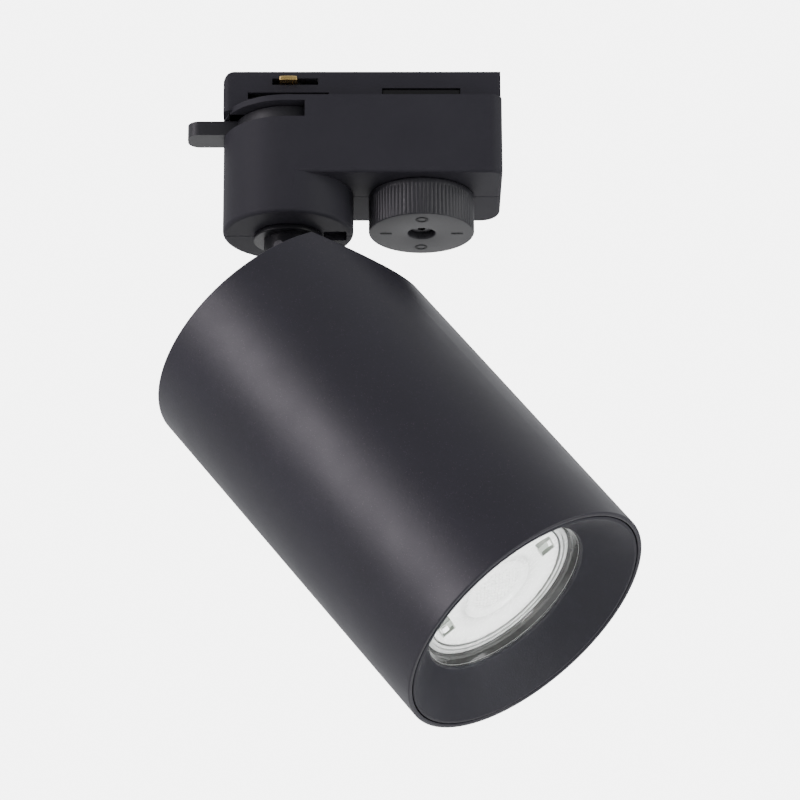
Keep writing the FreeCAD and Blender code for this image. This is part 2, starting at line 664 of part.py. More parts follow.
def holder_mount():
    """The strap that carries the lamp holder, and the screws through both brackets."""
    along = ("-strap_x - strap_half", "-strap_x + strap_half")
    hanger_low = "(-holder_top + sheet_thick)"
    pieces = [box(("-strap_x - strap_half", "holder_radius"), ("-strap_span", "strap_span"),
                  ("-holder_top", hanger_low))]
    for inner, outer in (("-plate_screw_y + plate_nut_radius", "-strap_span"),
                         ("plate_screw_y - plate_nut_radius", "strap_span")):
        low, high = sorted((inner, outer), key=size)
        pieces.append(box(along, (low, high), ("strap_z", "flange_z")))
        edge_low, edge_high = sorted((outer, f"({outer}) * (1 - sheet_thick / strap_span)"), key=size)
        pieces.append(box(along, (edge_low, edge_high), ("-holder_top", "flange_z")))
    holes = pin_room()
    for y in ("-plate_screw_y", "plate_screw_y"):
        holes.append(rod("plate_screw_radius", ("strap_z - 1", "flange_z + 1"), "-plate_screw_x", y))
    for y in ("-holder_screw_y", "holder_screw_y"):
        holes.append(rod("holder_screw_radius", ("-holder_top - 1", f"{hanger_low} + 1"), "0", y))
    for x in ("-pin_spacing / 2", "pin_spacing / 2"):
        holes.append(rod("lead_radius + gap", ("-holder_top - 1", f"{hanger_low} + 1"), x))
    part(cut(fuse(*pieces), *holes), "holder_strap", "head")

    screws, nuts, small_screws = [], [], []
    for y in ("-plate_screw_y", "plate_screw_y"):
        length = ("tube_back - plate_screw_length", "tube_back")
        shank = rod("plate_screw_radius", length, "-plate_screw_x", y)
        head = rod("plate_nut_radius", ("tube_back", "tube_back + 1.8"), "-plate_screw_x", y)
        screws.append(fuse(shank, head))
        nut_height = ("strap_z - plate_nut_thick", "strap_z")
        nuts.append(cut(rod("plate_nut_radius", nut_height, "-plate_screw_x", y),
                        rod("plate_screw_radius", nut_height, "-plate_screw_x", y)))
    for y in ("-holder_screw_y", "holder_screw_y"):
        shank = rod("holder_screw_radius", (f"{hanger_low} - holder_screw_length", hanger_low), "0", y)
        head = rod("holder_screw_radius * 1.9", (hanger_low, f"{hanger_low} + 1.8"), "0", y)
        small_screws.append(fuse(shank, head))
    part(group(*screws), "bracket_screws", "head")
    part(group(*nuts), "bracket_nuts", "head")
    part(group(*small_screws), "holder_screws", "head")


def lamp_holder():
    socket_top = "(holder_z + socket_depth)"
    block = rod("holder_radius", ("holder_z", "-holder_top"))
    tools, terminals, leads = [], [], []
    for x in ("-pin_spacing / 2", "pin_spacing / 2"):
        tools.append(rod("socket_radius", ("holder_z - 1", socket_top), x))
        tools.append(rod("lead_radius", (socket_top, "0"), x))
        terminals.append(rod("terminal_radius", (f"{socket_top} - terminal_length", socket_top), x))
        leads.append(rod("lead_radius", (socket_top, "-holder_top + lead_rise"), x))
    for y in ("-holder_screw_y", "holder_screw_y"):
        low = "-holder_top + sheet_thick - holder_screw_length"
        tools.append(rod("holder_screw_radius", (low, "0"), "0", y))
    part(cut(block, *tools), "lamp_holder", "head")
    part(group(*terminals), "holder_terminals", "head")
    part(group(*leads), "holder_leads", "head")


def lamp():
    """The GU10 lamp: cup, two pins, board, lens and front cover ring."""
    base = "holder_z"
    shoulder = f"({base} - lamp_base_length)"
    flare = f"({shoulder} - 4)"
    wall = "lamp_wall"
    cover = "(lamp_front + cover_recess)"
    board = f"({cover} + lens_depth + 1)"
    cup = turned("cup_blank", [
        ("0", base), ("lamp_base_radius", base), ("lamp_base_radius", shoulder),
        ("lamp_base_radius + 3", flare), ("lamp_radius - 5", f"{board} + 6"),
        ("lamp_radius - 1.4", f"{cover} + 5"), ("lamp_radius", f"{cover} + 1"),
        ("lamp_radius", "lamp_front"), ("lamp_radius - lamp_lip", "lamp_front"),
        ("lamp_radius - lamp_lip", cover), (f"lamp_radius - 1.4 - {wall}", f"{cover} + 5"),
        ("board_radius", board), ("board_radius", f"{board} + board_thick"),
        (f"lamp_base_radius - {wall}", f"{shoulder} + 2"), ("0", f"{shoulder} + 2"),
    ])
    studs, holes = [], []
    for x in ("-pin_spacing / 2", "pin_spacing / 2"):
        top = f"({base} + lamp_pin_length)"
        shank = rod("lamp_pin_radius", (f"{base} - 4", top), x)
        head = rod("lamp_pin_head", (f"{top} - 3", top), x)
        studs.append(fuse(shank, head))
        holes.append(rod("lamp_pin_radius", (f"{base} - 4", base), x))
    part(cut(cup, *holes), "lamp_cup", "head")
    part(group(*studs), "lamp_pins", "head")
    part(turned("lamp_board", [
        ("0", board), ("board_radius", board), ("board_radius", f"{board} + board_thick"),
        ("0", f"{board} + board_thick"),
    ]), "lamp_board", "head")
    lens_back = f"({cover} + lens_edge)"
    part(turned("lamp_lens", [
        ("0", cover), ("lens_radius", cover), ("lens_radius", f"{lens_back} - 0.6"),
        ("lens_radius - 0.4", lens_back), ("lens_root + 6", f"{cover} + lens_depth * 0.7"),
        ("lens_root", f"{cover} + lens_depth"), ("0", f"{cover} + lens_depth"),
    ]), "lamp_lens", "head")
    part(turned("lamp_cover_ring", [
        ("lamp_radius - lamp_lip", f"{cover} - 1"), ("lamp_radius - lamp_lip", cover),
        ("cover_inner", f"{cover} + 0.6"), ("lens_radius", f"{cover} + 0.6"), ("lens_radius", cover),
        ("cover_inner", cover),
    ]), "lamp_cover_ring", "head")


def write_parts():
    doc.recompute()
    for item in doc.Objects:
        if "Invalid" in item.State or "Error" in item.State:
            raise RuntimeError(f"{item.Label} failed: {item.State}")
    for item in SUB_PARTS:
        if item.Shape.isNull() or not item.Shape.isValid() or not item.Shape.Solids:
            raise RuntimeError(f"{item.Label} has no valid solid")
    os.makedirs("parts", exist_ok=True)
    for item in SUB_PARTS:
        item.Shape.exportStep(f"parts/{item.Label}.step")
        volume = item.Shape.Volume / 1000
        print(f"{item.Label}: {len(item.Shape.Solids)} solid(s), {volume:.2f} cm3")


adapter_shells()
detent()
lever_group()
knob_group()
neck_group()
head_tube()
baffle()
tilt_joint()
holder_mount()
lamp_holder()
lamp()
write_parts()
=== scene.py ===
import json
import math

import bmesh
import bpy
from mathutils import Matrix, Vector


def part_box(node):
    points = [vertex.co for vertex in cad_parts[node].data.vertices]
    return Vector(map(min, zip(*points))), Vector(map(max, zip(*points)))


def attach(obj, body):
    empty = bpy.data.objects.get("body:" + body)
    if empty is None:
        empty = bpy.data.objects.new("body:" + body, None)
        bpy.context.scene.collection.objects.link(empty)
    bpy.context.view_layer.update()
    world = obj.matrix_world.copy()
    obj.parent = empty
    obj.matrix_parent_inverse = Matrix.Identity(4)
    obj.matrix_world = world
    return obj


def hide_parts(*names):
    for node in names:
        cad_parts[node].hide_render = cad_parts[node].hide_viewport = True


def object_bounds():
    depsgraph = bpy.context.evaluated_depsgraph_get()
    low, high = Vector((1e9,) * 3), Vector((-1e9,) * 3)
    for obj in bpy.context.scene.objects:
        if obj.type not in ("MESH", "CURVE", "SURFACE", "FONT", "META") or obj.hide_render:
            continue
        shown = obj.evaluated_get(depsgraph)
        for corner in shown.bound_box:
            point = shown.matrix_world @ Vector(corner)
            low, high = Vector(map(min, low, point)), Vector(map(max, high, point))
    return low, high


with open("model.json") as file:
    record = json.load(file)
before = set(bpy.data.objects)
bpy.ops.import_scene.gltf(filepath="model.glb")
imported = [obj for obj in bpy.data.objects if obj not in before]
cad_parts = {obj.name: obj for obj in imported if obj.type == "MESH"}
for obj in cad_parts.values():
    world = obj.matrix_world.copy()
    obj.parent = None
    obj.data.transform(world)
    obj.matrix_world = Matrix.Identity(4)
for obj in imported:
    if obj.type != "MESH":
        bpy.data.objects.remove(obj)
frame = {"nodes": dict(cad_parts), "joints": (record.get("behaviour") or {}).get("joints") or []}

cad_low, cad_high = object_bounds()

MM = 0.001
ON_AXIS = 1e-6                   # a point this near a turned piece's axis is on it
RIM_STEPS = 256                  # segments round the baffle and the lamp's rims
NOISE_ROUGHNESS = 0.55

# The moving groups' frames, from the record's joints.
JOINTS = {joint["name"]: joint for joint in frame["joints"]}
PIVOT = Vector(JOINTS["head_tilt"]["pos_m"])
TILT_AXIS = Vector(JOINTS["head_tilt"]["axis"])
TILT = math.radians(-JOINTS["head_tilt"]["range_deg"][0])
PAN = math.atan2(TILT_AXIS.x, -TILT_AXIS.y)
HEAD = Matrix.Translation(PIVOT) @ Matrix.Rotation(PAN, 4, "Z") @ Matrix.Rotation(-TILT, 4, "Y")
HEAD_BACK = HEAD.inverted()


def along_head(node):
    """Front and back of a CAD node along the tube's axis, and its radius, in the head's own frame."""
    places = [HEAD_BACK @ vertex.co for vertex in frame["nodes"][node].data.vertices]
    heights = [place.z for place in places]
    return min(heights), max(heights), max(place.to_2d().length for place in places)


# ---------------------------------------------------------------- materials


class Nodes:
    """A material's node tree, with short calls for the nodes used here."""

    def __init__(self, name):
        self.material = bpy.data.materials.new(name)
        self.material.use_nodes = True
        self.tree = self.material.node_tree
        self.shader = self.tree.nodes["Principled BSDF"]
        self.coordinates = self.add("ShaderNodeTexCoord").outputs["Object"]

    def add(self, kind, **values):
        node = self.tree.nodes.new(kind)
        for name, value in values.items():
            setattr(node, name, value)
        return node

    def link(self, output, target):
        self.tree.links.new(output, target)

    def set(self, **values):
        for name, value in values.items():
            self.shader.inputs[name.replace("_", " ")].default_value = value

    def noise(self, scale, detail=3.0, vector=None):
        node = self.add("ShaderNodeTexNoise")
        node.inputs["Scale"].default_value = scale
        node.inputs["Detail"].default_value = detail
        node.inputs["Roughness"].default_value = NOISE_ROUGHNESS
        self.link(vector or self.coordinates, node.inputs["Vector"])
        return node.outputs["Fac"]

    def cells(self, scale):
        node = self.add("ShaderNodeTexVoronoi")
        node.inputs["Scale"].default_value = scale
        self.link(self.coordinates, node.inputs["Vector"])
        return node.outputs["Distance"]

    def span(self, value, low, high, new_low=0.0, new_high=1.0):
        node = self.add("ShaderNodeMapRange")
        limits = {"From Min": low, "From Max": high, "To Min": new_low, "To Max": new_high}
        for name, number in limits.items():
            node.inputs[name].default_value = number
        self.link(value, node.inputs["Value"])
        return node.outputs["Result"]

    def blend(self, factor, first, second):
        node = self.add("ShaderNodeMix", data_type="RGBA")
        self.link(factor, node.inputs["Factor"])
        for name, value in (("A", first), ("B", second)):
            socket = next(item for item in node.inputs if item.name == name and item.type == "RGBA")
            if isinstance(value, tuple):
                socket.default_value = (*value, 1.0)
            else:
                self.link(value, socket)
        return next(item for item in node.outputs if item.type == "RGBA")

    def maths(self, operation, first, second):
        node = self.add("ShaderNodeMath", operation=operation)
        for socket, value in zip(node.inputs, (first, second)):
            if isinstance(value, (int, float)):
                socket.default_value = value
            else:
                self.link(value, socket)
        return node.outputs[0]

    def bump(self, *layers):
        """Stack bumps, each (height, distance in metres, strength)."""
        normal = None
        for height, distance, strength in layers:
            node = self.add("ShaderNodeBump")
            node.inputs["Distance"].default_value = distance
            node.inputs["Strength"].default_value = strength
            self.link(height, node.inputs["Height"])
            if normal:
                self.link(normal, node.inputs["Normal"])
            normal = node.outputs["Normal"]
        self.link(normal, self.shader.inputs["Normal"])

    def worn_edges(self):
        """1 on sharp outward edges of a dense mesh, 0 on its flats."""
        pointed = self.add("ShaderNodeNewGeometry").outputs["Pointiness"]
        return self.span(pointed, 0.52, 0.62)


def moulded_plastic(name, colour, roughness, worn=None, gloss=0.5):
    """Black moulded plastic with a fine spark-eroded grain, its edges rubbed if worn is a colour."""
    made = Nodes(name)
    patch = made.noise(60, 3)
    shade = made.blend(made.span(patch, 0.35, 0.7), colour, tuple(value * 1.1 for value in colour))
    rough = made.span(patch, 0.3, 0.75, roughness - 0.02, roughness + 0.03)
    if worn:
        edge = made.maths("MULTIPLY", made.worn_edges(), made.span(made.noise(700, 3), 0.35, 0.7))
        shade = made.blend(edge, shade, worn)
        rough = made.maths("SUBTRACT", rough, made.maths("MULTIPLY", edge, 0.08))
    made.link(shade, made.shader.inputs["Base Color"])
    made.link(rough, made.shader.inputs["Roughness"])
    made.bump((made.noise(7500, 2), 0.00003, 0.3), (made.noise(2600, 1), 0.00002, 0.12))
    made.set(IOR=1.5, Specular_IOR_Level=gloss)
    return made.material


def powder_coat(name, colour, fleck, roughness, gloss=0.5):
    """Satin black powder coat with a fine orange peel and small warm and violet flecks."""
    made = Nodes(name)
    peel = made.noise(1900, 3)
    flecks = made.span(made.cells(2600), 0.0, 0.28, 1.0, 0.0)
    bright = made.maths("MULTIPLY", flecks, made.span(made.noise(1200, 1), 0.5, 0.66))
    hue = made.blend(made.span(made.noise(900, 2), 0.42, 0.58), fleck, tuple(reversed(fleck)))
    lighter = tuple(value * 1.18 for value in colour)
    drift = made.blend(made.span(made.noise(35, 3), 0.35, 0.7), colour, lighter)
    made.link(made.blend(bright, drift, hue), made.shader.inputs["Base Color"])
    made.link(made.span(made.noise(60, 4), 0.3, 0.7, roughness - 0.03, roughness + 0.04),
              made.shader.inputs["Roughness"])
    made.bump((peel, 0.00007, 0.35), (made.noise(7000, 2), 0.00004, 0.3))
    made.set(IOR=1.52, Specular_IOR_Level=gloss)
    return made.material


DRAWN_GRAIN = (2200, 2200, 240)  # fine across the piece, long along it


def metal(name, colour, roughness, marks=0.25):
    """Plated or brushed metal: a drawn grain, smears and small scratches."""
    made = Nodes(name)
    stretch = made.add("ShaderNodeMapping")
    stretch.inputs["Scale"].default_value = DRAWN_GRAIN
    made.link(made.coordinates, stretch.inputs["Vector"])
    lines = made.noise(1.0, 4, vector=stretch.outputs["Vector"])
    smear = made.noise(350, 4)
    darker = tuple(value * 0.72 for value in colour)
    made.link(made.blend(made.span(smear, 0.35, 0.7), colour, darker), made.shader.inputs["Base Color"])
    made.link(made.span(lines, 0.3, 0.7, roughness - 0.07, roughness + 0.1), made.shader.inputs["Roughness"])
    made.bump((lines, 0.00003, marks))
    made.set(Metallic=1.0)
    return made.material


def clear_plastic(name, tint, transmission, roughness, coat):
    """Clear moulded optic with faint flow lines under a smooth skin. With little transmission, its tint is
    painted light: a near-white tint is painted brightness, a darker one painted shade.
    """
    made = Nodes(name)
    flow = made.noise(240, 3)
    darker = tuple(value * 0.93 for value in tint)
    made.link(made.blend(made.span(flow, 0.3, 0.7), tint, darker), made.shader.inputs["Base Color"])
    made.link(made.span(made.noise(900, 2), 0.3, 0.7, roughness * 0.7, roughness * 1.5),
              made.shader.inputs["Roughness"])
    made.bump((flow, 0.00004, 0.2))
    made.set(IOR=1.49, Transmission_Weight=transmission, Coat_Weight=coat, Coat_Roughness=0.04)
    return made.material


def plain_white(name, colour, roughness):
    """White moulded or glazed surface with slight mottling."""
    made = Nodes(name)
    darker = tuple(value * 0.9 for value in colour)
    made.link(made.blend(made.span(made.noise(300, 4), 0.3, 0.7), colour, darker),
              made.shader.inputs["Base Color"])
    made.link(made.span(made.noise(500, 3), 0.3, 0.7, roughness - 0.05, roughness + 0.08),
              made.shader.inputs["Roughness"])
    made.bump((made.noise(2500, 2), 0.00004, 0.25))
    return made.material


def glossy(name, colour, roughness, coat):
    """Smooth moulded gloss with a rippled skin and faint handling marks."""
    made = Nodes(name)
    lighter = tuple(value * 1.3 for value in colour)
    made.link(made.blend(made.span(made.noise(400, 3), 0.3, 0.7), colour, lighter),
              made.shader.inputs["Base Color"])
    made.link(made.span(made.noise(650, 4), 0.35, 0.75, roughness * 0.6, roughness * 1.7),
              made.shader.inputs["Roughness"])
    made.bump((made.noise(420, 3), 0.00012, 0.45))
    made.set(Coat_Weight=coat, Coat_Roughness=0.04)
    return made.material


ADAPTER_BLACK = moulded_plastic("adapter_black", (0.029, 0.028, 0.035), 0.58, gloss=0.2)
LEVER_BLACK = moulded_plastic("lever_black", (0.021, 0.021, 0.025), 0.48)
KNOB_BLACK = moulded_plastic("control_black", (0.021, 0.021, 0.025), 0.46, worn=(0.07, 0.07, 0.076))
# Darker than the outer plastics. On the rotor and the lock plate this is painted shade for the deep slots
# they show in; on the knob's marks it is their own dark colour.
INNER_SHADE_AND_MARK_BLACK = moulded_plastic("inner_shade_and_mark_black", (0.009, 0.009, 0.01), 0.55, gloss=0.3)
HEAD_BLACK = powder_coat("head_black", (0.0168, 0.0155, 0.0235), (0.12, 0.075, 0.1), 0.4)
# Darker than the head's coat: the neck and collar's black is partly their own finish and partly painted shade
# under the adapter.
NECK_SHADED_BLACK = powder_coat("neck_black_painted_shade", (0.009, 0.009, 0.011), (0.05, 0.045, 0.05), 0.36, gloss=0.25)
BAFFLE_BLACK = powder_coat("baffle_matt_black", (0.0165, 0.016, 0.0235), (0.045, 0.04, 0.055), 0.52,
                           gloss=0.4)
BRASS = metal("contact_brass", (0.83, 0.58, 0.22), 0.26)
STEEL = metal("zinc_steel", (0.62, 0.62, 0.63), 0.32)
DARK_STEEL = metal("black_oxide_steel", (0.09, 0.09, 0.095), 0.38)
# Near-white with little transmission: painted brightness for the light seen through the clear optic.
LENS_PAINTED_BRIGHT = clear_plastic("optic_painted_bright", (0.88, 0.895, 0.875), 0.08, 0.22, coat=0.8)
# Darker grey-green: painted shade in the clip windows.
CLIP_PAINTED_SHADE = clear_plastic("clip_painted_shade", (0.36, 0.39, 0.35), 0.1, 0.15, coat=0.6)
RIM_DARK = glossy("lamp_rim_gloss", (0.05, 0.051, 0.049), 0.16, 0.6)
BEZEL_GREY = glossy("lamp_bezel_grey", (0.5, 0.51, 0.5), 0.2, 0.5)
# Bright metal lip: a painted glint, standing in for the glint on the clear ring's edge at the lamp's mouth.
GLINT_LIP_METAL = metal("painted_glint_lip_metal", (0.5, 0.5, 0.51), 0.18, marks=0.05)
CERAMIC = plain_white("glazed_ceramic", (0.84, 0.82, 0.76), 0.25)
LAMP_WHITE = plain_white("lamp_white", (0.84, 0.85, 0.84), 0.35)
CLIP_WHITE = plain_white("clip_white", (0.93, 0.94, 0.93), 0.3)
SLEEVE = plain_white("lead_sleeve", (0.72, 0.7, 0.66), 0.55)


def paint(node, material):
    slots = frame["nodes"][node].data.materials
    slots.clear()
    slots.append(material)


for nodes, material in (
    (("adapter_front_shell", "adapter_rear_shell"), ADAPTER_BLACK),
    (("lock_lever",), LEVER_BLACK),
    (("lock_knob",), KNOB_BLACK),
    # the inner parts' darker black is painted shade for the adapter's slots
    (("contact_rotor", "lock_plate"), INNER_SHADE_AND_MARK_BLACK),
    (("front_contact", "rear_contact", "holder_terminals", "lamp_pins"), BRASS),
    (("shell_screws", "knob_screw", "bracket_screws", "neck_set_screw"), DARK_STEEL),
    (("detent_ball", "detent_spring", "lock_shaft", "spring_washer", "stop_washer",
      "swivel_nut", "retaining_ring", "tilt_bracket", "hinge_pin", "hinge_nut", "friction_washers",
      "holder_strap", "bracket_nuts", "holder_screws"), STEEL),
    (("housing_tube",), HEAD_BLACK),
    # darker coat on the neck and collar: partly painted shade
    (("neck_tube", "swivel_collar"), NECK_SHADED_BLACK),
    (("front_baffle",), BAFFLE_BLACK),
    (("neck_leads", "holder_leads"), SLEEVE),
    (("lamp_holder",), CERAMIC),
    (("lamp_cup", "lamp_board"), LAMP_WHITE),
    # the optic's near-white colour is painted brightness
    (("lamp_lens",), LENS_PAINTED_BRIGHT),
    (("lamp_cover_ring",), BEZEL_GREY),
):
    for node in nodes:
        paint(node, material)


# ---------------------------------------------------------------- soft edges on the CAD nodes


WELD_REACH = 0.002
SHARP_ANGLE = math.radians(32)


def soften(node, width):
    """Small rounds on a CAD node's sharp edges, and smooth shading between them."""
    piece = frame["nodes"][node]
    weld = piece.modifiers.new("weld", "WELD")
    weld.merge_threshold = WELD_REACH * MM
    bevel = piece.modifiers.new("edge_round", "BEVEL")
    bevel.width = width * MM
    bevel.segments = 3
    bevel.limit_method = "ANGLE"
    bevel.angle_limit = SHARP_ANGLE
    bevel.harden_normals = True
    bevel.miter_outer = "MITER_ARC"
    even = piece.modifiers.new("even_normals", "WEIGHTED_NORMAL")
    even.mode = "FACE_AREA_WITH_ANGLE"
    even.weight = 90


for node, width in (
    ("adapter_front_shell", 0.45), ("adapter_rear_shell", 0.45), ("lock_lever", 0.5), ("housing_tube", 0.35),
    ("swivel_collar", 0.25), ("front_contact", 0.35), ("rear_contact", 0.35), ("lock_plate", 0.25),
):
    soften(node, width)


# ---------------------------------------------------------------- mesh helpers


def finish_mesh(name, shape, matrix, material, body, smooth_angle=35):
    """A shaded piece on one body, from a mesh whose own frame is matrix."""
    mesh = bpy.data.meshes.new(name)
    bmesh.ops.recalc_face_normals(shape, faces=shape.faces)
    shape.transform(matrix)
    shape.to_mesh(mesh)
    shape.free()
    mesh.materials.append(material)
    for face in mesh.polygons:
        face.use_smooth = True
    mesh.set_sharp_from_angle(angle=math.radians(smooth_angle))
    piece = bpy.data.objects.new(name, mesh)
    bpy.context.scene.collection.objects.link(piece)
    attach(piece, body)
    return piece


def arc_corner(before, corner, after, radius, count):
    """Points that round one corner of an outline."""
    to_before = (before - corner).normalized()
    to_after = (after - corner).normalized()
    turn = math.acos(max(-1.0, min(1.0, to_before.dot(to_after))))
    reach = radius / math.tan(turn / 2)
    limit = 0.48 * min((before - corner).length, (after - corner).length)
    if reach > limit:
        reach = limit
        radius = reach * math.tan(turn / 2)
    centre = corner + (to_before + to_after).normalized() * (radius / math.sin(turn / 2))
    start = corner + to_before * reach - centre
    end = corner + to_after * reach - centre
    swing = start.angle_signed(end) * -1
    points = []
    for index in range(count + 1):
        angle = swing * index / count
        points.append(centre + Matrix.Rotation(angle, 2) @ start)
    return points


def rounded_outline(outline, radius, count=4):
    """A closed outline of (x, z) in mm with rounded corners. A third number is a corner's own radius."""
    flat = [Vector(point[:2]) for point in outline]
    result = []
    for index, point in enumerate(outline):
        own = point[2] if len(point) > 2 else radius
        if own <= 0:
            result.append(flat[index])
            continue
        before, after = flat[index - 1], flat[(index + 1) % len(flat)]
        result.extend(arc_corner(before, flat[index], after, own, count))
    return result


def ring_faces(shape, ring, following):
    """Join two rings of vertices with faces. Either may be a single vertex on the axis."""
    steps = max(len(ring), len(following))
    for step in range(steps):
        after = (step + 1) % steps
        corners = [ring[step % len(ring)], ring[after % len(ring)],
                   following[after % len(following)], following[step % len(following)]]
        unique = list(dict.fromkeys(corners))
        if len(unique) > 2:
            shape.faces.new(unique)


def lathe(outline, steps, wave=None):
    """A closed solid of revolution from a closed outline in mm. wave(angle, point) shifts a radius."""
    shape = bmesh.new()
    rings = []
    for point in outline:
        if abs(point.x) < ON_AXIS:
            rings.append([shape.verts.new((0, 0, point.y * MM))])
            continue
        ring = []
        for step in range(steps):
            angle = 2 * math.pi * step / steps
            radius = point.x + (wave(angle, point) if wave else 0)
            place = Vector((radius * math.cos(angle), radius * math.sin(angle), point.y))
            ring.append(shape.verts.new(place * MM))
        rings.append(ring)
    for ring, following in zip(rings, rings[1:] + rings[:1]):
        if len(ring) > 1 or len(following) > 1:
            ring_faces(shape, ring, following)
    return shape


# ---------------------------------------------------------------- front of the head

BAFFLE_FRONT, BAFFLE_BACK, BAFFLE_RADIUS = (value / MM for value in along_head("front_baffle"))
CUP_FRONT, _, CUP_RADIUS = (value / MM for value in along_head("lamp_cup"))
LENS_FRONT, LENS_BACK, LENS_RADIUS = (value / MM for value in along_head("lamp_lens"))
_, _, COVER_RADIUS = (value / MM for value in along_head("lamp_cover_ring"))
MOUTH_RADIUS = CUP_RADIUS - 0.5  # the baffle's opening round the lamp
MOUTH_LIP = 1.2                  # height of the opening's edge in front of the lamp
MOUTH_Z = CUP_FRONT - MOUTH_LIP
BAFFLE_WALL = 1.2
RIM_WALL = 0.9                   # flat edge of the cone at the tube's front
RIM_SINK = 0.1                   # the cone's edge lies this far behind the tube's front
SKIRT_BEND = 2.4                 # from the front to where the skirt's inside starts


def make_baffle():
    """Matte cone flush with the rim, with a fine lip at the lamp."""
    front, skirt = BAFFLE_FRONT + RIM_SINK, BAFFLE_RADIUS - BAFFLE_WALL
    outline = rounded_outline([
        (BAFFLE_RADIUS, front, 0.3), (BAFFLE_RADIUS, BAFFLE_BACK, 0.2),
        (skirt, BAFFLE_BACK, 0.2), (skirt, BAFFLE_FRONT + SKIRT_BEND, 0.4),
        (MOUTH_RADIUS + BAFFLE_WALL, CUP_FRONT, 0.2), (MOUTH_RADIUS, CUP_FRONT, 0.15),
        (MOUTH_RADIUS, MOUTH_Z, 0.25), (BAFFLE_RADIUS - RIM_WALL, front, 0.35),
    ], 0.2)
    piece = finish_mesh("baffle_cone", lathe(outline, RIM_STEPS), HEAD, BAFFLE_BLACK, "head")
    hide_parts("front_baffle")


OPTIC_Z = LENS_FRONT
OPTIC_RADIUS = LENS_RADIUS - 0.25
BEZEL_OUTER = COVER_RADIUS - 1.3
BEZEL_INNER = OPTIC_RADIUS + 0.35
BEZEL_GROOVE = BEZEL_OUTER - 1.25
GROOVE_HALF = 0.15
LIP_SHOWN = 0.07                 # how much of the bright lip, a painted glint, stands inside the baffle's opening
LIP_THICK = 0.1
LIP_SEAT = 0.3                   # how far the lip reaches into the baffle
RIM_STAND = 0.1                  # how far the gloss wall stands in front of the lamp cup
RIM_SEAT = 0.6                   # how far the gloss wall reaches behind the optic's front


def make_lamp_rims():
    """Dark gloss wall of the lamp's front, a bright metal lip that stands in for the glint on the clear
    ring's edge (a painted glint), and the pale bezel round the optic.
    """
    wall_outer, wall_front, wall_back = MOUTH_RADIUS + 0.1, CUP_FRONT - RIM_STAND, OPTIC_Z + RIM_SEAT
    outline = rounded_outline([
        (wall_outer, wall_front, 0.03), (wall_outer, wall_back, 0.2),
        (BEZEL_OUTER + 0.05, wall_back, 0.1), (BEZEL_OUTER + 0.05, OPTIC_Z - 0.7, 0.25),
        (BEZEL_OUTER + 0.55, OPTIC_Z - 0.95, 0.3), (BEZEL_OUTER + 0.7, OPTIC_Z - 1.8, 0.4),
        (wall_outer - 0.55, wall_front, 0.25)], 0.2, 5)
    rim = finish_mesh("lamp_gloss_wall", lathe(outline, RIM_STEPS), HEAD, RIM_DARK, "head")
    lip_inner, lip_outer = MOUTH_RADIUS - LIP_SHOWN, MOUTH_RADIUS + LIP_SEAT
    lip = rounded_outline([
        (lip_outer, wall_front), (lip_inner, wall_front),
        (lip_inner, wall_front - LIP_THICK), (lip_outer, wall_front - LIP_THICK)], 0.03, 4)
    # the bright metal lip is a painted glint on the mouth's edge
    bright = finish_mesh("lamp_painted_glint_lip", lathe(lip, RIM_STEPS), HEAD, GLINT_LIP_METAL, "head")
    groove_inner, groove_outer = BEZEL_GROOVE - GROOVE_HALF, BEZEL_GROOVE + GROOVE_HALF
    bezel = rounded_outline([
        (BEZEL_OUTER, OPTIC_Z + 0.5, 0.1), (BEZEL_INNER, OPTIC_Z + 0.5, 0.1),
        (BEZEL_INNER, OPTIC_Z - 0.3, 0.18), (groove_inner, OPTIC_Z - 0.45, 0.15),
        (groove_inner, OPTIC_Z + 0.2, 0), (groove_outer, OPTIC_Z + 0.2, 0),
        (groove_outer, OPTIC_Z - 0.7, 0.2), (BEZEL_OUTER, OPTIC_Z - 0.6, 0.2)], 0.2, 5)
    ring = finish_mesh("lamp_bezel", lathe(bezel, RIM_STEPS), HEAD, BEZEL_GREY, "head")
    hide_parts("lamp_cover_ring")


CELL_PITCH = 1.35
CELL_REACH = 7.2                 # radius of the field of lenslets
CELL_FADE = 1.2                  # the lenslets die out over this width
CELL_RISE = 0.6
FIELD_RISE = 0.35
FIELD_SINK = 0.15                # the middle lies this far behind the optic's front
RIDGE_RADIUS = 10.0
RIDGE_RISE = 0.55
RIDGE_WIDTH = 0.75
DISH_DEPTH = 1.1
OPTIC_TURNS = 288
FIELD_RINGS = 46
DISH_RINGS = 48


def cell_height(x, y):
    """Height of a field of hexagonal lenslets, 0 at their edges and 1 at their crowns."""
    row_step = CELL_PITCH * math.sqrt(3) / 2
    nearest = CELL_PITCH
    row_near = round(y / row_step)
    for row in (row_near - 1, row_near, row_near + 1):
        shift = CELL_PITCH / 2 if row % 2 else 0
        column = round((x - shift) / CELL_PITCH)
        nearest = min(nearest, math.hypot(x - shift - column * CELL_PITCH, y - row * row_step))
    return 1 - (nearest / (CELL_PITCH * 0.58)) ** 2


def optic_relief(radius, x, y):
    """How far the optic's front stands proud of its rim plane, in mm."""
    if radius < CELL_REACH:
        fade = min(1.0, (CELL_REACH - radius) / CELL_FADE)
        crown = FIELD_RISE * (1 - (radius / CELL_REACH) ** 2)
        return crown - FIELD_SINK + CELL_RISE * fade * cell_height(x, y)
    ridge = RIDGE_RISE * math.exp(-((radius - RIDGE_RADIUS) / RIDGE_WIDTH) ** 2)
    if radius < RIDGE_RADIUS:
        return ridge - FIELD_SINK
    outward = (radius - RIDGE_RADIUS) / (OPTIC_RADIUS - RIDGE_RADIUS)
    dish = math.sin(math.pi * min(1.0, outward * 1.06)) ** 0.8
    return ridge * (1 - outward) - DISH_DEPTH * dish * (1 - 0.35 * outward)


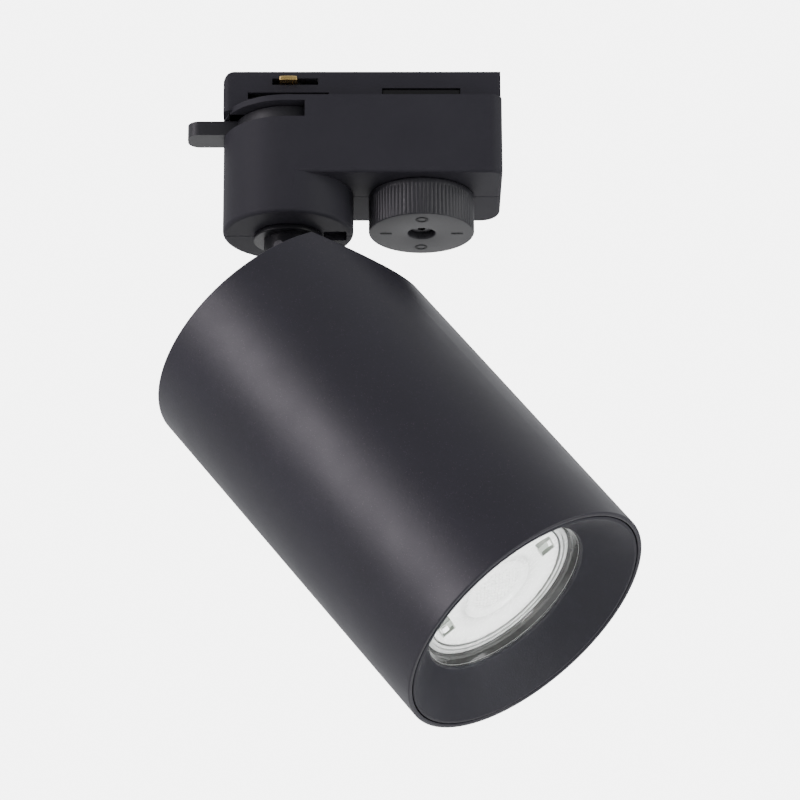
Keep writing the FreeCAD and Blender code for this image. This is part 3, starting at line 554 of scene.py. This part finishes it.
def make_optic():
    """The clear optic, painted near-white as brightness standing in for the light through it: lenslets, a
    round ridge, a shallow dish and a flat outer band.
    """
    shape = bmesh.new()
    angles = [2 * math.pi * turn / OPTIC_TURNS for turn in range(OPTIC_TURNS)]
    dish_width = OPTIC_RADIUS - 0.25 - CELL_REACH
    radii = [CELL_REACH * index / FIELD_RINGS for index in range(1, FIELD_RINGS + 1)]
    radii += [CELL_REACH + dish_width * index / DISH_RINGS for index in range(1, DISH_RINGS + 1)]
    rings = [[shape.verts.new((0, 0, (OPTIC_Z - optic_relief(0, 0, 0)) * MM))]]
    for radius in radii:
        ring = []
        for angle in angles:
            x, y = radius * math.cos(angle), radius * math.sin(angle)
            ring.append(shape.verts.new(Vector((x, y, OPTIC_Z - optic_relief(radius, x, y))) * MM))
        rings.append(ring)
    back = rounded_outline([
        (OPTIC_RADIUS, OPTIC_Z + 0.2, 0), (OPTIC_RADIUS, OPTIC_Z + 1.2, 0.2),
        (OPTIC_RADIUS - 0.7, OPTIC_Z + 1.6, 0.3), (13.5, OPTIC_Z + 6.2, 3.0), (6.0, LENS_BACK, 0.4),
        (0, LENS_BACK, 0)], 0)
    for point in back:
        places = [Vector((point.x * math.cos(angle), point.x * math.sin(angle), point.y)) for angle in angles]
        if point.x < ON_AXIS:
            places = places[:1]
        rings.append([shape.verts.new(place * MM) for place in places])
    for ring, following in zip(rings, rings[1:]):
        ring_faces(shape, ring, following)
    piece = finish_mesh("lamp_optic", shape, HEAD, LENS_PAINTED_BRIGHT, "head", 50)
    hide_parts("lamp_lens")


def slab(shape, centre, half, bevel=0.0):
    """Add a box to a mesh, in mm, with its edges rounded."""
    made = bmesh.ops.create_cube(shape, size=1.0)["verts"]
    for vertex in made:
        vertex.co = Vector([(centre[axis] + vertex.co[axis] * 2 * half[axis]) * MM for axis in range(3)])
    if bevel:
        edges = {edge for vertex in made for edge in vertex.link_edges}
        bmesh.ops.bevel(shape, geom=list(edges), offset=bevel * MM, segments=2, affect="EDGES")


CLIP_RADIUS = 16.5
CLIP_FRAME = HEAD @ Matrix.Rotation(math.radians(10), 4, "Z")
CLIP_HALF = (1.9, 2.5)
CLIP_RIB = 0.2                   # half width of the frame round a clip window


def make_clips():
    """Two rectangular retaining windows near opposite edges of the optic, painted a darker grey-green as
    shade, one with a white tab.
    """
    shape = bmesh.new()
    half_x, half_y = CLIP_HALF
    for side in (-1, 1):
        x, z = side * CLIP_RADIUS, OPTIC_Z + 0.25
        for offset in (-1, 1):
            slab(shape, (x + offset * half_x, 0, z), (CLIP_RIB, half_y + CLIP_RIB, 0.7), 0.08)
            slab(shape, (x, offset * half_y, z), (half_x, CLIP_RIB, 0.7), 0.08)
        slab(shape, (x, 0, z + 0.45), (half_x, half_y, 0.12), 0.05)
    # the clips' darker colour is painted shade
    piece = finish_mesh("optic_clips", shape, CLIP_FRAME, CLIP_PAINTED_SHADE, "head")
    tab = bmesh.new()
    slab(tab, (-CLIP_RADIUS - 0.3, 0.5, OPTIC_Z + 0.2), (0.85, 1.35, 0.3), 0.12)
    white = finish_mesh("optic_clip_tab", tab, CLIP_FRAME, CLIP_WHITE, "head")


make_baffle()
make_lamp_rims()
make_optic()
make_clips()


# ---------------------------------------------------------------- knob

KNOB_LOW, KNOB_HIGH = (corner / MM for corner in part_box("lock_knob"))
KNOB_CENTRE = (KNOB_LOW + KNOB_HIGH) / 2
KNOB_FRAME = Matrix.Translation((KNOB_CENTRE.x * MM, KNOB_CENTRE.y * MM, 0))
KNOB_RADIUS = (KNOB_HIGH.x - KNOB_LOW.x) / 2
RIBS = 76
RIB_DEPTH = 0.22
RIB_END = 0.35                   # smooth edge under the ribs
TOP_BAND = 1.6                   # smooth band above the ribs
SHANK_HOLE = 1.6
COUNTERBORE = 3.7
COUNTERBORE_DEPTH = 2.6
TOP_RECESS = 5.0
TOP_RECESS_DEPTH = 4.6


def make_knob():
    """Knob with fine upright ribs, a smooth upper band and a counterbored middle."""
    low, high = KNOB_LOW.z, KNOB_HIGH.z
    rib_low, rib_high = low + RIB_END, high - TOP_BAND

    def ribs(angle, point):
        if point.x < KNOB_RADIUS - 0.01 or not rib_low - 0.01 <= point.y <= rib_high + 0.01:
            return 0.0
        return RIB_DEPTH * (abs(math.cos(RIBS * angle / 2)) ** 0.6 - 1)

    bore_end, recess_end = low + COUNTERBORE_DEPTH, high - TOP_RECESS_DEPTH
    outline = rounded_outline([
        (SHANK_HOLE, bore_end, 0), (COUNTERBORE, bore_end, 0.15), (COUNTERBORE, low, 0.35),
        (KNOB_RADIUS - 0.3, low, 0.3), (KNOB_RADIUS, rib_low, 0), (KNOB_RADIUS, rib_high, 0),
        (KNOB_RADIUS, rib_high + 0.15, 0), (KNOB_RADIUS, high, 0.4), (TOP_RECESS, high, 0),
        (TOP_RECESS, recess_end, 0), (SHANK_HOLE, recess_end, 0)], 0)
    piece = finish_mesh("ribbed_knob", lathe(outline, RIBS * 6, ribs), KNOB_FRAME, KNOB_BLACK, "knob", 40)
    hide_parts("lock_knob")


MARK_REACH = 9.6
MARK_PROUD = 0.12
RING_INNER, RING_OUTER = 1.0, 1.75


def make_knob_marks():
    """Plain position marks on the knob's face: a bar at each side, a ring at front and back."""
    shape = bmesh.new()
    for side in (-1, 1):
        slab(shape, (side * MARK_REACH, 0, KNOB_LOW.z), (1.6, 0.42, MARK_PROUD), 0.08)
    bars = finish_mesh("knob_bar_marks", shape, KNOB_FRAME, INNER_SHADE_AND_MARK_BLACK, "knob")
    for name, side in (("knob_ring_mark_front", -1), ("knob_ring_mark_rear", 1)):
        mark_low, mark_high = KNOB_LOW.z - MARK_PROUD, KNOB_LOW.z + 0.1
        outline = rounded_outline([
            (RING_INNER, mark_low), (RING_OUTER, mark_low), (RING_OUTER, mark_high),
            (RING_INNER, mark_high)], 0.08, 2)
        place = KNOB_FRAME @ Matrix.Translation((0, side * MARK_REACH * MM, 0))
        ring = finish_mesh(name, lathe(outline, 40), place, INNER_SHADE_AND_MARK_BLACK, "knob")


def hexagon(across_flats):
    """A wave that turns the ring at this radius into a hexagonal socket."""
    def wave(angle, point):
        if point.x > across_flats / 2 + 0.01:
            return 0.0
        return point.x / math.cos((angle + math.pi / 6) % (math.pi / 3) - math.pi / 6) - point.x
    return wave


def screw_head(radius, thick, socket, shank, length):
    """A button-head screw with a hexagonal socket, its top at height 0 and its shank below, in mm."""
    head = rounded_outline([
        (shank, -thick, 0), (shank, -thick - length, 0.3), (0, -thick - length, 0), (0, -socket, 0),
        (socket * 0.75, -socket, 0), (socket * 0.75, 0, 0), (radius - 0.5, 0, 0.4),
        (radius, -thick * 0.45, 0.4), (radius, -thick, 0.1)], 0.2, 3)
    return lathe(head, 72, hexagon(socket * 1.5))


SHELL_SCREW = {"radius": 2.8, "thick": 2.2, "socket": 1.5, "shank": 1.5, "length": 26.0}
BRACKET_SCREW = {"radius": 3.4, "thick": 1.8, "socket": 1.9, "shank": 2.0, "length": 8.5}
KNOB_SCREW = {"radius": 3.2, "thick": 1.6, "socket": 1.3, "shank": 1.5, "length": 6.0}
KNOB_SCREW_SINK = 0.9 * MM


def set_of_screws(name, node, body, places, sizes):
    """Replace a CAD group of screws with socket-head ones at the same places."""
    joined = bmesh.new()
    for place in places:
        screw = screw_head(**sizes)
        screw.transform(place)
        mesh = bpy.data.meshes.new("one")
        screw.to_mesh(mesh)
        screw.free()
        joined.from_mesh(mesh)
        bpy.data.meshes.remove(mesh)
    piece = finish_mesh(name, joined, Matrix.Identity(4), DARK_STEEL, body)
    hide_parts(node)


def islands(node):
    """The vertices' places of each separate solid of a CAD node."""
    shape = bmesh.new()
    shape.from_mesh(frame["nodes"][node].data)
    bmesh.ops.remove_doubles(shape, verts=shape.verts, dist=WELD_REACH * MM)
    seen, solids = set(), []
    for seed in shape.verts:
        if seed in seen:
            continue
        seen.add(seed)
        found, waiting = [], [seed]
        while waiting:
            vertex = waiting.pop()
            found.append(vertex.co.copy())
            for edge in vertex.link_edges:
                other = edge.other_vert(vertex)
                if other not in seen:
                    seen.add(other)
                    waiting.append(other)
        solids.append(found)
    shape.free()
    return solids


def extent(places):
    """Lowest and highest corner of some places."""
    low = Vector([min(place[axis] for place in places) for axis in range(3)])
    high = Vector([max(place[axis] for place in places) for axis in range(3)])
    return low, high


def make_screws():
    """The shells' screws from behind, the bracket's from the tube's back and the knob's from below."""
    shell = []
    for places in islands("shell_screws"):
        low, high = extent(places)
        middle = (low + high) / 2
        top = Matrix.Translation((middle.x, high.y, middle.z))
        shell.append(top @ Matrix.Rotation(-math.pi / 2, 4, "X"))
    set_of_screws("shell_screw_set", "shell_screws", "adapter", shell, SHELL_SCREW)
    back = []
    for places in islands("bracket_screws"):
        low, high = extent([HEAD_BACK @ place for place in places])
        middle = (low + high) / 2
        back.append(HEAD @ Matrix.Translation((middle.x, middle.y, high.z)))
    set_of_screws("bracket_screw_set", "bracket_screws", "head", back, BRACKET_SCREW)
    low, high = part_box("knob_screw")
    sunk = KNOB_FRAME @ Matrix.Translation((0, 0, low.z + KNOB_SCREW_SINK))
    place = sunk @ Matrix.Rotation(math.pi, 4, "X")
    set_of_screws("knob_screw_set", "knob_screw", "knob", [place], KNOB_SCREW)


make_knob()
make_knob_marks()
make_screws()


# ---------------------------------------------------------------- stage, light and camera


def area_light(name, place, target, width, height, power, colour=(1, 1, 1)):
    """A rectangular soft box, aimed at a point. Sizes in metres, power in watts."""
    data = bpy.data.lights.new(name, "AREA")
    data.shape = "RECTANGLE"
    data.size = width
    data.size_y = height
    data.energy = power
    data.color = colour
    lamp = bpy.data.objects.new(name, data)
    bpy.context.scene.collection.objects.link(lamp)
    lamp.location = place
    lamp.rotation_euler = (Vector(target) - Vector(place)).to_track_quat("-Z", "Y").to_euler()


CENTRE = (cad_low + cad_high) / 2
FRONT_GLOW = 0.22
BACK_GLOW = 0.85
TOP_GLOW = 0.33
BACKDROP_GLOW = 6.0
FLOOR_Z = cad_low.z - 0.6
FLOOR_HALF = 4.0
SNOOT_POWER = 38
SNOOT_DISTANCE = 0.55
SNOOT_RADIUS = 0.004


def make_stage():
    mesh = bpy.data.meshes.new("floor")
    signs = ((-1, -1), (1, -1), (1, 1), (-1, 1))
    floor_corners = [(x * FLOOR_HALF, y * FLOOR_HALF, FLOOR_Z) for x, y in signs]
    mesh.from_pydata(floor_corners, [], [(0, 1, 2, 3)])
    made = Nodes("pale_floor")
    pale = made.blend(made.noise(3, 2), (0.86, 0.86, 0.86), (0.9, 0.9, 0.9))
    made.link(pale, made.shader.inputs["Base Color"])
    made.set(Roughness=0.8)
    mesh.materials.append(made.material)
    floor = bpy.data.objects.new("floor", mesh)
    bpy.context.scene.collection.objects.link(floor)

    world = bpy.data.worlds.new("studio")
    bpy.context.scene.world = world
    world.use_nodes = True
    light_up(world.node_tree)


def light_up(tree):
    """A white room: plain white behind the object, dimmer towards the front and the ceiling."""
    surround = tree.nodes["Background"]
    surround.inputs["Color"].default_value = (0.97, 0.98, 1.0, 1)
    direction = tree.nodes.new("ShaderNodeTexCoord")
    split = tree.nodes.new("ShaderNodeSeparateXYZ")
    tree.links.new(direction.outputs["Generated"], split.inputs[0])
    depth = tree.nodes.new("ShaderNodeMapRange")
    depth.interpolation_type = "SMOOTHSTEP"
    limits = {"From Min": -0.35, "From Max": 0.85, "To Min": FRONT_GLOW, "To Max": BACK_GLOW}
    for name, value in limits.items():
        depth.inputs[name].default_value = value
    tree.links.new(split.outputs["Y"], depth.inputs["Value"])
    height = tree.nodes.new("ShaderNodeMapRange")
    height.inputs["To Max"].default_value = TOP_GLOW
    tree.links.new(split.outputs["Z"], height.inputs["Value"])
    total = tree.nodes.new("ShaderNodeMath")
    tree.links.new(depth.outputs["Result"], total.inputs[0])
    tree.links.new(height.outputs["Result"], total.inputs[1])
    tree.links.new(total.outputs[0], surround.inputs["Strength"])
    backdrop = tree.nodes.new("ShaderNodeBackground")
    backdrop.inputs["Color"].default_value = (1, 1, 1, 1)
    backdrop.inputs["Strength"].default_value = BACKDROP_GLOW
    choose = tree.nodes.new("ShaderNodeMixShader")
    path = tree.nodes.new("ShaderNodeLightPath")
    tree.links.new(path.outputs["Is Camera Ray"], choose.inputs["Fac"])
    tree.links.new(surround.outputs[0], choose.inputs[1])
    tree.links.new(backdrop.outputs[0], choose.inputs[2])
    tree.links.new(choose.outputs[0], tree.nodes["World Output"].inputs["Surface"])


def around(azimuth, elevation, distance):
    """A place round the object: azimuth 0 is the front, and positive is to the right."""
    turn, rise = math.radians(azimuth), math.radians(elevation)
    return CENTRE + distance * Vector((math.sin(turn) * math.cos(rise), -math.cos(turn) * math.cos(rise),
                                       math.sin(rise)))


def make_lights():
    """A tall soft box at the left, weak fills at the right, low behind and in front, and the lamp's own."""
    area_light("key", around(-60, 9, 2.6), CENTRE, 0.8, 2.2, 36, (1.0, 0.93, 1.0))
    area_light("right_fill", around(62, 8, 1.6), CENTRE, 0.7, 1.4, 11)
    area_light("under_fill", around(176, -23, 1.5), CENTRE, 1.2, 0.6, 3)
    beam = HEAD.to_3x3() @ Vector((0, 0, -1))
    area_light("below", CENTRE + 1.1 * beam, CENTRE, 0.7, 0.7, 6.5)
    make_snoot(beam)


def make_snoot(beam):
    """A narrow light on the lamp's face only. It rides on the head, so that it follows the lamp."""
    data = bpy.data.lights.new("lamp_snoot", "SPOT")
    data.energy = SNOOT_POWER
    data.shadow_soft_size = SNOOT_RADIUS
    data.spot_size = 2 * math.atan(BEZEL_OUTER * MM / SNOOT_DISTANCE)
    data.spot_blend = 0.2
    lamp = bpy.data.objects.new("lamp_snoot", data)
    bpy.context.scene.collection.objects.link(lamp)
    lamp.location = HEAD @ Vector((0, 0, OPTIC_Z * MM)) + SNOOT_DISTANCE * beam
    lamp.rotation_euler = (-beam).to_track_quat("-Z", "Y").to_euler()
    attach(lamp, "head")


SENSOR_WIDTH = 36
FOCAL_LENGTH = 181.33
CAMERA_DISTANCE = 1.074
CAMERA_TARGET = Vector((0.0301, 0, -0.0918))


def make_camera():
    """A long lens a metre away, looking up at the object from just left of its front."""
    elevation, azimuth, roll = math.radians(20.26), math.radians(-0.48), math.radians(-0.22)
    back = Vector((math.sin(azimuth) * math.cos(elevation), -math.cos(azimuth) * math.cos(elevation),
                   -math.sin(elevation)))
    right = (-back).cross(Vector((0, 0, 1))).normalized()
    up = right.cross(-back)
    turn = Matrix.Rotation(roll, 3, back)
    axes = Matrix((turn @ right, turn @ up, back)).transposed()
    data = bpy.data.cameras.new("camera")
    data.sensor_width = SENSOR_WIDTH
    data.lens = FOCAL_LENGTH
    data.clip_end = 20
    camera = bpy.data.objects.new("camera", data)
    camera.matrix_world = Matrix.Translation(CAMERA_TARGET + back * CAMERA_DISTANCE) @ axes.to_4x4()
    bpy.context.scene.collection.objects.link(camera)
    bpy.context.scene.camera = camera


make_stage()
make_lights()
make_camera()
